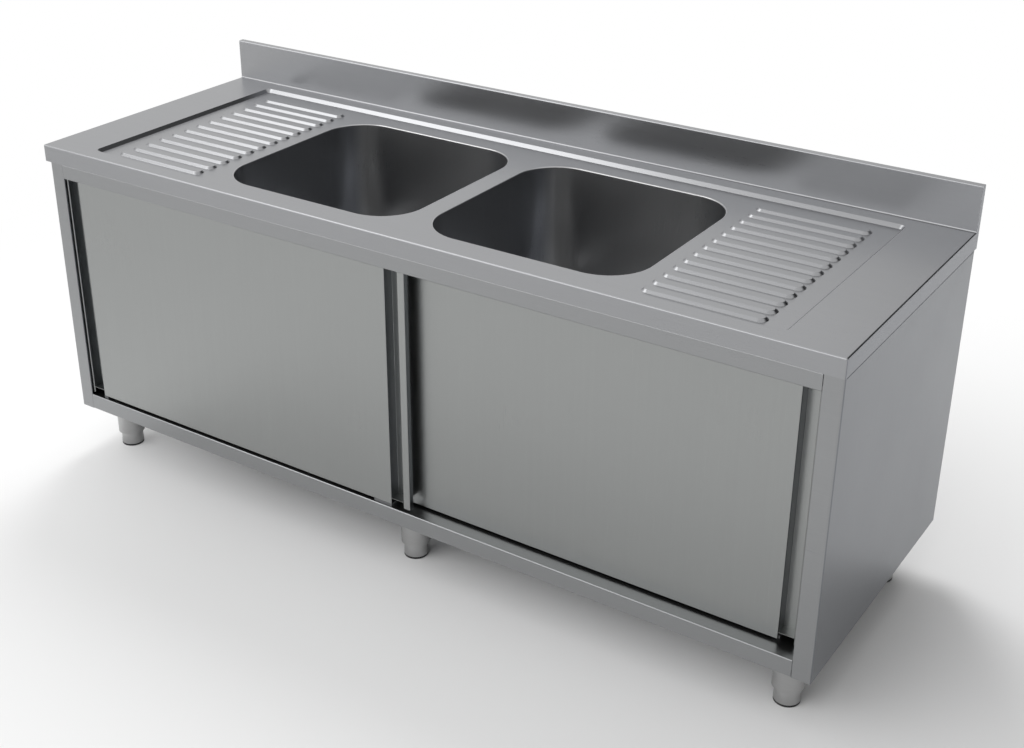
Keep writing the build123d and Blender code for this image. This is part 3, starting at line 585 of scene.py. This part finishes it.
def piece_from(builder, name, body, slot_name):
    """Turn a bmesh into a smooth piece that rides on a body."""
    bmesh.ops.recalc_face_normals(builder, faces=builder.faces)
    mesh = bpy.data.meshes.new(name)
    builder.to_mesh(mesh)
    builder.free()
    mesh.shade_smooth()
    mesh.set_sharp_from_angle(angle=SHARP_ANGLE)
    mesh.materials.append(MATERIALS[slot_name])
    piece = bpy.data.objects.new(name, mesh)
    bpy.context.scene.collection.objects.link(piece)
    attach(piece, body)
    return piece


def solids_of(name):
    """Lowest and highest corner of each solid of a CAD node, from left to right."""
    builder = bmesh.new()
    builder.from_mesh(nodes[name].data)
    bmesh.ops.remove_doubles(builder, verts=builder.verts, dist=SAME_POINT * MM)
    waiting = set(builder.verts)
    boxes = []
    while waiting:
        joined = [waiting.pop()]
        for vertex in joined:
            for edge in vertex.link_edges:
                other = edge.other_vert(vertex)
                if other in waiting:
                    waiting.remove(other)
                    joined.append(other)
        places = list(zip(*(vertex.co for vertex in joined)))
        boxes.append((Vector(map(min, places)), Vector(map(max, places))))
    builder.free()
    return sorted(boxes, key=lambda box: tuple(round(value, ORDER_DIGITS) for value in box[0]))


def middle_at(low, high, height):
    """The middle of a box seen from above, at that height."""
    middle = (low + high) / 2
    return (middle.x, middle.y, height)


def turn(profile, steps):
    """A new bmesh: a profile of (radius, height) points in mm turned round the Z axis."""
    builder = bmesh.new()
    line = [builder.verts.new((radius * MM, 0, height * MM)) for radius, height in profile]
    edges = [builder.edges.new(pair) for pair in zip(line, line[1:])]
    bmesh.ops.spin(
        builder,
        geom=line + edges,
        cent=(0, 0, 0),
        axis=(0, 0, 1),
        dvec=(0, 0, 0),
        angle=2 * math.pi,
        steps=steps,
        use_merge=True,
    )
    bmesh.ops.remove_doubles(builder, verts=builder.verts, dist=SAME_TURNED_POINT * MM)
    return builder


def wind_thread(builder, root, crest, pitch, low, high, steps):
    """Wind a thread's ridge round the Z axis: root, crest, pitch and heights in mm."""
    flank = pitch * THREAD_FLANK_SHARE
    land = pitch * THREAD_LAND_SHARE
    section = (
        (root - THREAD_DEPTH, low),
        (root, low),
        (crest, low + flank - land),
        (crest, low + flank + land),
        (root, low + 2 * flank),
        (root - THREAD_DEPTH, low + 2 * flank),
    )
    corners = [builder.verts.new((radius * MM, 0, height * MM)) for radius, height in section]
    face = builder.faces.new(corners)
    count = round(((high - low) / pitch - 1) * steps)
    bmesh.ops.spin(
        builder,
        geom=[face, *face.edges, *corners],
        cent=(0, 0, 0),
        axis=(0, 0, 1),
        dvec=(0, 0, pitch / steps * MM),
        angle=2 * math.pi * count / steps,
        steps=count,
        use_merge=False,
    )


def add_part(builder, part, place):
    """Add a bmesh, moved by a vector in metres, to a larger one, and free it."""
    bmesh.ops.translate(part, verts=part.verts, vec=place)
    mesh = bpy.data.meshes.new("part")
    part.to_mesh(mesh)
    part.free()
    builder.from_mesh(mesh)
    bpy.data.meshes.remove(mesh)


def cap_screw(direction, length):
    """Button screw with a hexagon socket, the underside of its head at height 0."""
    head, height, shank = SCREW_HEAD, SCREW_HEAD_HEIGHT, SCREW_SHANK
    builder = turn(
        (
            (0, -length),
            (shank * SCREW_TIP_SHARE, -length),
            (shank, -length + SCREW_TIP_HEIGHT),
            (shank, 0),
            (head, 0),
            *((head * out, height * up) for out, up in SCREW_CROWN),
        ),
        SCREW_STEPS,
    )
    bmesh.ops.create_circle(
        builder,
        segments=HEXAGON,
        radius=head * SCREW_SOCKET_SHARE * MM,
        matrix=Matrix.Translation((0, 0, height * MM)),
    )
    sides = [edge for edge in builder.edges if edge.is_wire]
    bmesh.ops.subdivide_edges(builder, edges=sides, cuts=SCREW_STEPS // HEXAGON - 1)
    loops = [edge for edge in builder.edges if edge.is_wire or edge.is_boundary]
    bmesh.ops.bridge_loops(builder, edges=loops)
    mouth = [edge for edge in builder.edges if edge.is_boundary]
    walls = bmesh.ops.extrude_edge_only(builder, edges=mouth)["geom"]
    bottom = [item for item in walls if isinstance(item, bmesh.types.BMVert)]
    depth = height * SCREW_SOCKET_DEPTH_SHARE
    bmesh.ops.translate(builder, verts=bottom, vec=(0, 0, -depth * MM))
    bottom_edges = [edge for edge in builder.edges if edge.is_boundary]
    bmesh.ops.holes_fill(builder, edges=bottom_edges, sides=0)
    if direction == DOWN:
        bmesh.ops.rotate(builder, verts=builder.verts, matrix=Matrix.Rotation(math.pi, 3, "X"))
    return builder


def levelling_foot(radius, length):
    """Foot of that radius and length in mm turned from bar, standing on height 0."""
    neck = radius - FOOT_TAPER
    shoulder = FOOT_BODY
    builder = turn(
        (
            (0, 0),
            (radius - FOOT_CORNER, 0),
            (radius, FOOT_CORNER),
            (radius, FOOT_EDGE),
            (neck, FOOT_TAPER_HEIGHT),
            (neck, shoulder - FOOT_ROUND),
            (neck - FOOT_ROUND_MIDDLE, shoulder - FOOT_ROUND_MIDDLE),
            (neck - FOOT_ROUND, shoulder),
            (STEM_ROOT + STEM_GROOVE, shoulder),
            (STEM_ROOT, shoulder - FOOT_ROUND),
            (STEM_ROOT, length - STEM_CHAMFER),
            (STEM_ROOT - STEM_CHAMFER, length),
            (0, length),
        ),
        FOOT_STEPS,
    )
    wind_thread(
        builder,
        STEM_ROOT - THREAD_SUNK,
        STEM_CREST,
        STEM_PITCH,
        shoulder + STEM_THREAD_GAP,
        length - STEM_CHAMFER,
        STEM_STEPS,
    )
    return builder


def weld_bead():
    """Rippled weld in the corner between a leg's collar and the plate above it, at height 0."""
    inside = COLLAR - BEAD_SUNK
    builder = turn(
        (
            (inside, BEAD_SUNK),
            (COLLAR + BEAD, BEAD_SUNK),
            *((COLLAR + BEAD * out, -BEAD * down) for out, down in BEAD_FACE),
            (inside, -BEAD),
            (inside, BEAD_SUNK),
        ),
        BEAD_RIPPLES * 2,
    )
    for vertex in builder.verts:
        step = round(math.atan2(vertex.co.y, vertex.co.x) / math.pi * BEAD_RIPPLES)
        if step % 2 and vertex.co.z < 0:
            vertex.co *= 1 - BEAD_RIPPLE / COLLAR
    return builder


def hexagon_bolt(length):
    """Bolt with a chamfered hexagon head and a washer, standing on its head at height 0."""
    head_top = BOLT_HEAD_HEIGHT - BOLT_WASHER_SHEET
    builder = turn(
        (
            (0, head_top),
            (BOLT_WASHER, head_top),
            (BOLT_WASHER, BOLT_HEAD_HEIGHT),
            (BOLT_SHANK, BOLT_HEAD_HEIGHT),
            (BOLT_SHANK, length - BOLT_CHAMFER),
            (BOLT_SHANK - BOLT_CHAMFER, length),
            (0, length),
        ),
        BOLT_STEPS,
    )
    bmesh.ops.create_cone(
        builder,
        cap_ends=True,
        segments=HEXAGON,
        radius1=BOLT_HEAD * MM,
        radius2=BOLT_HEAD * MM,
        depth=head_top * MM,
        matrix=Matrix.Translation((0, 0, head_top / 2 * MM)),
    )
    lowest = BOLT_CHAMFER * MM
    lower = [edge for edge in builder.edges if all(vertex.co.z < lowest for vertex in edge.verts)]
    bmesh.ops.bevel(
        builder,
        geom=lower,
        affect="EDGES",
        offset=BOLT_CHAMFER * MM,
        segments=2,
        profile=0.5,
        material=-1,
    )
    return builder


# --------------------------------------------------------------------- stage
FLOOR_SIZE = 30.0
# Painted light: the white that the camera sees is mixed over the lamp-lit floor from FLOOR_FADE's
# start, lightening its shade, so the shadow stays darkest round SHADOW_MIDDLE.
SHADOW_MIDDLE = (0.55, -0.2, 0.0)  # the floor fades to white all round this place
FLOOR_FADE = (0.9, 3.0)  # where the fade starts and ends, in metres from there
MIRRORED_FADE = (3.0, 8.0)  # the same for the floor as the steel reflects it

# Patches of the sky: the direction of each, and the cosines at which it starts and is full.
BRIGHT_SIDE = ((-0.8, 0.6, 0.0), 0.1, 0.9)
OVERHEAD = ((0.0, 0.0, 1.0), 0.36, 0.6)
FRONT_WINDOW = ((-0.45, -0.82, 0.35), 0.82, 0.95)
GLOW_SIDE = ((-0.35, -0.9, 0.25), 0.3, 0.9)
SHADE_SIDE = ((0.9, -0.3, 0.4), 0.3, 0.9)
DIM_PATCH = ((0.36, 0.77, 0.53), 0.77, 0.94)
DARK_CORNER = ((0.46, 0.87, 0.16), 0.93, 0.98)
SHADE_SHARE = 0.55  # what each of the last three takes away
DIM_SHARE = 0.93
DARK_SHARE = 0.95

SOFTBOX_PLACE = Vector((-2.5, -0.9, 3.9))
SOFTBOX_SIZE = 2.2
FLOOR_LAMP_PLACE = Vector((-1.3, 1.9, 3.6))
FLOOR_LAMP_SIZE = 2.0
UNIT_MIDDLE = Vector((0.0, 0.0, 0.5))
SENSOR_WIDTH = 36
CAMERA_REACH = 100


def lay_floor(studio):
    """A pale floor that fades to the white background far from the unit, with painted light: the
    white starts near the unit and lightens the lamp-lit floor and its shadow, least round
    SHADOW_MIDDLE.
    """
    builder = bmesh.new()
    bmesh.ops.create_grid(builder, x_segments=1, y_segments=1, size=FLOOR_SIZE / 2)
    mesh = bpy.data.meshes.new("studio_floor")
    builder.to_mesh(mesh)
    builder.free()
    floor = bpy.data.objects.new("studio_floor", mesh)
    bpy.context.scene.collection.objects.link(floor)
    material, finish = new_finish("studio_floor")
    ends = (finish.object_place(), SHADOW_MIDDLE)
    distance = finish.node("ShaderNodeVectorMath", {"operation": "DISTANCE"}, ends, "Value")
    camera, glossy, through = background_rays(finish)
    mirrored = glossy.math("MAXIMUM", glossy, through)
    # Painted light: white laid over the lit floor for the camera, from near the unit outwards.
    seen_white_and_painted_light = camera * finish.smooth_step(distance, *FLOOR_FADE)
    mirrored_white = mirrored * finish.smooth_step(distance, *MIRRORED_FADE)
    matt = finish.node("ShaderNodeBsdfDiffuse", None, {"Color": (*studio.floor_colour, 1)})
    white = finish.node("ShaderNodeEmission", None, {"Color": WHITE, "Strength": 1.0})
    surfaces = (seen_white_and_painted_light + mirrored_white, matt, white)
    surface = finish.node("ShaderNodeMixShader", None, surfaces)
    finish.node("ShaderNodeOutputMaterial", None, {"Surface": surface})
    mesh.materials.append(material)


def background_rays(finish):
    """1 for the camera's rays, for those of mirrors and for those through glass."""
    kinds = ("Is Camera Ray", "Is Glossy Ray", "Is Transmission Ray")
    return [finish.node("ShaderNodeLightPath", output=kind) for kind in kinds]


def light_sky(scene, studio):
    """Soft sky with a bright side, a window low in front and a dark corner at the back right.

    The camera sees it white. Matt surfaces also get a glow from in front, less on the right."""
    world = bpy.data.worlds.new("studio_sky")
    world.use_nodes = True
    scene.world = world
    finish = Finish(world.node_tree)
    direction = finish.node("ShaderNodeTexCoord", output="Generated")

    def patch(aim, start, full):
        sides = (direction, Vector(aim).normalized())
        facing = finish.node("ShaderNodeVectorMath", {"operation": "DOT_PRODUCT"}, sides, "Value")
        return finish.smooth_step(facing, start, full)

    sky = (
        studio.sky_low
        + patch(*BRIGHT_SIDE) * (studio.sky_high - studio.sky_low)
        + patch(*OVERHEAD) * studio.sky_overhead
        + patch(*FRONT_WINDOW) * studio.window
    )
    matt = finish.node("ShaderNodeLightPath", output="Is Diffuse Ray")
    glow = patch(*GLOW_SIDE) * studio.floor_glow - patch(*SHADE_SIDE) * SHADE_SHARE
    kept = (1 - patch(*DIM_PATCH) * DIM_SHARE) * (1 - patch(*DARK_CORNER) * DARK_SHARE)
    strength = (sky + matt * glow) * kept
    camera, _, through = background_rays(finish)
    lit = finish.node("ShaderNodeBackground", None, {"Color": WHITE, "Strength": strength})
    white = finish.node("ShaderNodeBackground", None, {"Color": WHITE, "Strength": 1.0})
    seen = camera.math("MAXIMUM", camera, through)
    surface = finish.node("ShaderNodeMixShader", None, (seen, lit, white))
    finish.node("ShaderNodeOutputWorld", None, {"Surface": surface})


def hang_lamp(name, place, size, power):
    """Large round lamp at that place, facing the unit."""
    light = bpy.data.lights.new(name, "AREA")
    light.shape = "DISK"
    light.size = size
    light.energy = power
    lamp = bpy.data.objects.new(name, light)
    lamp.location = place
    lamp.rotation_euler = (place - UNIT_MIDDLE).to_track_quat("Z", "Y").to_euler()
    bpy.context.scene.collection.objects.link(lamp)
    return lamp


def set_camera(scene, studio):
    """Camera at the photograph's viewing angle."""
    azimuth, height, roll = studio.camera_angles
    back = Vector(
        (
            math.sin(azimuth) * math.cos(height),
            -math.cos(azimuth) * math.cos(height),
            math.sin(height),
        )
    )
    level = Vector((math.cos(azimuth), math.sin(azimuth), 0))
    upright = back.cross(level)
    right = level * math.cos(roll) + upright * math.sin(roll)
    up = upright * math.cos(roll) - level * math.sin(roll)
    lens = bpy.data.cameras.new("camera")
    lens.sensor_width = SENSOR_WIDTH
    lens.lens = studio.focal_length
    lens.shift_x, lens.shift_y = studio.camera_shift
    lens.clip_end = CAMERA_REACH
    camera = bpy.data.objects.new("camera", lens)
    facing = Matrix((right, up, back)).transposed().to_4x4()
    camera.matrix_world = Matrix.Translation(studio.camera_place) @ facing
    scene.collection.objects.link(camera)
    scene.camera = camera


# ---------------------------------------------------------------- operators
class SINKUNIT_OT_materials(bpy.types.Operator):
    """Make the steel, zinc, rubber and nylon finishes"""

    bl_idname = "sinkunit.materials"
    bl_label = "Make Finishes"

    def execute(self, context):
        scene = context.scene
        MATERIALS.update(make_materials(scene.sink_steel, scene.sink_plastic))
        return {"FINISHED"}


class SINKUNIT_OT_worktop(bpy.types.Operator):
    """Finish the worktop and the bowls"""

    bl_idname = "sinkunit.worktop"
    bl_label = "Finish Worktop and Bowls"

    def execute(self, context):
        finish_nodes(("worktop", "upstand_end_caps", "worktop_stiffeners"))
        finish_nodes(("left_bowl", "right_bowl"), "bowl_steel")
        return {"FINISHED"}


class SINKUNIT_OT_wastes(bpy.types.Operator):
    """Finish the wastes and wind the threads of their outlet pipes"""

    bl_idname = "sinkunit.wastes"
    bl_label = "Make Wastes"

    def execute(self, context):
        finish_nodes((*WASTE_FLANGES, "waste_seals", "waste_nuts"))
        thread = bmesh.new()
        wind_thread(
            thread,
            PIPE_RADIUS - THREAD_SUNK,
            PIPE_RADIUS + PIPE_THREAD_HEIGHT,
            PIPE_THREAD_PITCH,
            PIPE_THREAD_GAP,
            PIPE_LENGTH - PIPE_THREAD_GAP,
            PIPE_THREAD_STEPS,
        )
        builder = bmesh.new()
        for name in WASTE_FLANGES:
            low, high = map(Vector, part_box(name))
            add_part(builder, thread.copy(), middle_at(low, high, low.z))
        thread.free()
        piece_from(builder, "waste_threads", "cabinet", "waste_steel")
        return {"FINISHED"}


class SINKUNIT_OT_cabinet(bpy.types.Operator):
    """Finish the cabinet's sheets, channels and tracks"""

    bl_idname = "sinkunit.cabinet"
    bl_label = "Finish Cabinet"

    def execute(self, context):
        finish_nodes(
            (
                "left_side_panel",
                "right_side_panel",
                "back_panel",
                "top_rail",
                "bottom_rail",
                "bottom_shelf",
                "base_channels",
                "shelf_stiffeners",
                "front_track",
                "rear_track",
                "track_stops",
                "door_guides",
            )
        )
        return {"FINISHED"}


class SINKUNIT_OT_doors(bpy.types.Operator):
    """Finish the sliding doors and what they hang from"""

    bl_idname = "sinkunit.doors"
    bl_label = "Finish Doors"

    def execute(self, context):
        parts = ("front", "back", "damping_pad", "channel_ends", "hangers", "axles")
        for side in SIDES:
            finish_nodes([f"{side}_door_{part}" for part in parts])
            finish_nodes([f"{side}_door_{end}_roller" for end in SIDES])
        return {"FINISHED"}


class SINKUNIT_OT_screws(bpy.types.Operator):
    """Turn the socket screws of the tracks, guides and hangers"""

    bl_idname = "sinkunit.screws"
    bl_label = "Make Screws"

    def execute(self, context):
        for name, (body, direction) in SCREW_SETS.items():
            builder = bmesh.new()
            for low, high in solids_of(name):
                length = (high.z - low.z) / MM - SCREW_HEAD_HEIGHT
                head_end = high.z if direction == UP else low.z
                seat = head_end - direction * SCREW_HEAD_HEIGHT * MM
                add_part(builder, cap_screw(direction, length), middle_at(low, high, seat))
            piece = piece_from(builder, f"{name}_turned", body, "fitting_steel")
            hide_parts(name)
        return {"FINISHED"}


class SINKUNIT_OT_bolts(bpy.types.Operator):
    """Make the hexagon bolts and washers that hold the legs, and the collars' welds"""

    bl_idname = "sinkunit.bolts"
    bl_label = "Make Leg Bolts"

    def execute(self, context):
        builder = bmesh.new()
        for low, high in solids_of("leg_bolts"):
            bolt = hexagon_bolt((high.z - low.z) / MM)
            add_part(builder, bolt, middle_at(low, high, low.z))
        piece = piece_from(builder, "leg_bolts_turned", "cabinet", "fitting_steel")
        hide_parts("leg_bolts")
        builder = bmesh.new()
        for low, high in solids_of("leg_plates"):
            add_part(builder, weld_bead(), middle_at(low, high, high.z - PLATE_SHEET * MM))
        piece_from(builder, "leg_weld_beads", "cabinet", "fitting_steel")
        return {"FINISHED"}


class SINKUNIT_OT_feet(bpy.types.Operator):
    """Turn the levelling feet with their threaded stems"""

    bl_idname = "sinkunit.feet"
    bl_label = "Make Levelling Feet"

    def execute(self, context):
        low, high = map(Vector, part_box(f"foot_{FOOT_PLACES[0]}"))
        foot = levelling_foot((high.x - low.x) / 2 / MM, (high.z - low.z) / MM)
        for place in FOOT_PLACES:
            node = f"foot_{place}"
            low, high = map(Vector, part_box(node))
            builder = foot.copy()
            spot = middle_at(low, high, low.z)
            bmesh.ops.translate(builder, verts=builder.verts, vec=spot)
            piece = piece_from(builder, f"{node}_turned", node, "leg_steel")
            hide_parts(node)
        foot.free()
        return {"FINISHED"}


class SINKUNIT_OT_legs(bpy.types.Operator):
    """Finish the legs and the rubber pads of the feet"""

    bl_idname = "sinkunit.legs"
    bl_label = "Finish Legs"

    def execute(self, context):
        finish_nodes(("leg_plates", "leg_tubes", "leg_inserts"))
        finish_nodes([f"pad_{place}" for place in FOOT_PLACES])
        return {"FINISHED"}


class SINKUNIT_OT_stage(bpy.types.Operator):
    """Lay the floor, light the studio and set the camera"""

    bl_idname = "sinkunit.stage"
    bl_label = "Set the Stage"

    def execute(self, context):
        studio = context.scene.sink_studio
        lay_floor(studio)
        light_sky(context.scene, studio)
        softbox = hang_lamp("softbox", SOFTBOX_PLACE, SOFTBOX_SIZE, studio.softbox_power)
        softbox.visible_diffuse = False
        power = studio.floor_lamp_power
        floor_lamp = hang_lamp("floor_lamp", FLOOR_LAMP_PLACE, FLOOR_LAMP_SIZE, power)
        floor_lamp.visible_glossy = False
        set_camera(context.scene, studio)
        context.scene.view_settings.view_transform = "Standard"
        return {"FINISHED"}


# --------------------------------------------------------------------- panel
class SINKUNIT_PT_panel(bpy.types.Panel):
    """Settings of the unit and its makers, in order"""

    bl_idname = "SINKUNIT_PT_panel"
    bl_label = "Sink Unit"
    bl_space_type = "VIEW_3D"
    bl_region_type = "UI"
    bl_category = "Sink Unit"

    def draw(self, context):
        for name in GROUPS:
            group = getattr(context.scene, name)
            box = self.layout.box()
            for key in group.bl_rna.properties.keys():
                if key not in ("name", "rna_type"):
                    box.prop(group, key)
        for operator in OPERATORS:
            self.layout.operator(operator.bl_idname)


GROUPS = {
    "sink_steel": SinkSteelSettings,
    "sink_plastic": SinkPlasticSettings,
    "sink_studio": SinkStudioSettings,
}
OPERATORS = (
    SINKUNIT_OT_materials,
    SINKUNIT_OT_worktop,
    SINKUNIT_OT_wastes,
    SINKUNIT_OT_cabinet,
    SINKUNIT_OT_doors,
    SINKUNIT_OT_screws,
    SINKUNIT_OT_bolts,
    SINKUNIT_OT_feet,
    SINKUNIT_OT_legs,
    SINKUNIT_OT_stage,
)
CLASSES = (*GROUPS.values(), *OPERATORS, SINKUNIT_PT_panel)


def register():
    for cls in CLASSES:
        bpy.utils.register_class(cls)
    for name, group in GROUPS.items():
        setattr(bpy.types.Scene, name, PointerProperty(type=group))


def unregister():
    for name in GROUPS:
        delattr(bpy.types.Scene, name)
    for cls in reversed(CLASSES):
        bpy.utils.unregister_class(cls)


def main():
    """Make every piece in order."""
    register()
    for operator in OPERATORS:
        group, verb = operator.bl_idname.split(".")
        getattr(getattr(bpy.ops, group), verb)()


if __name__ == "__main__":
    main()
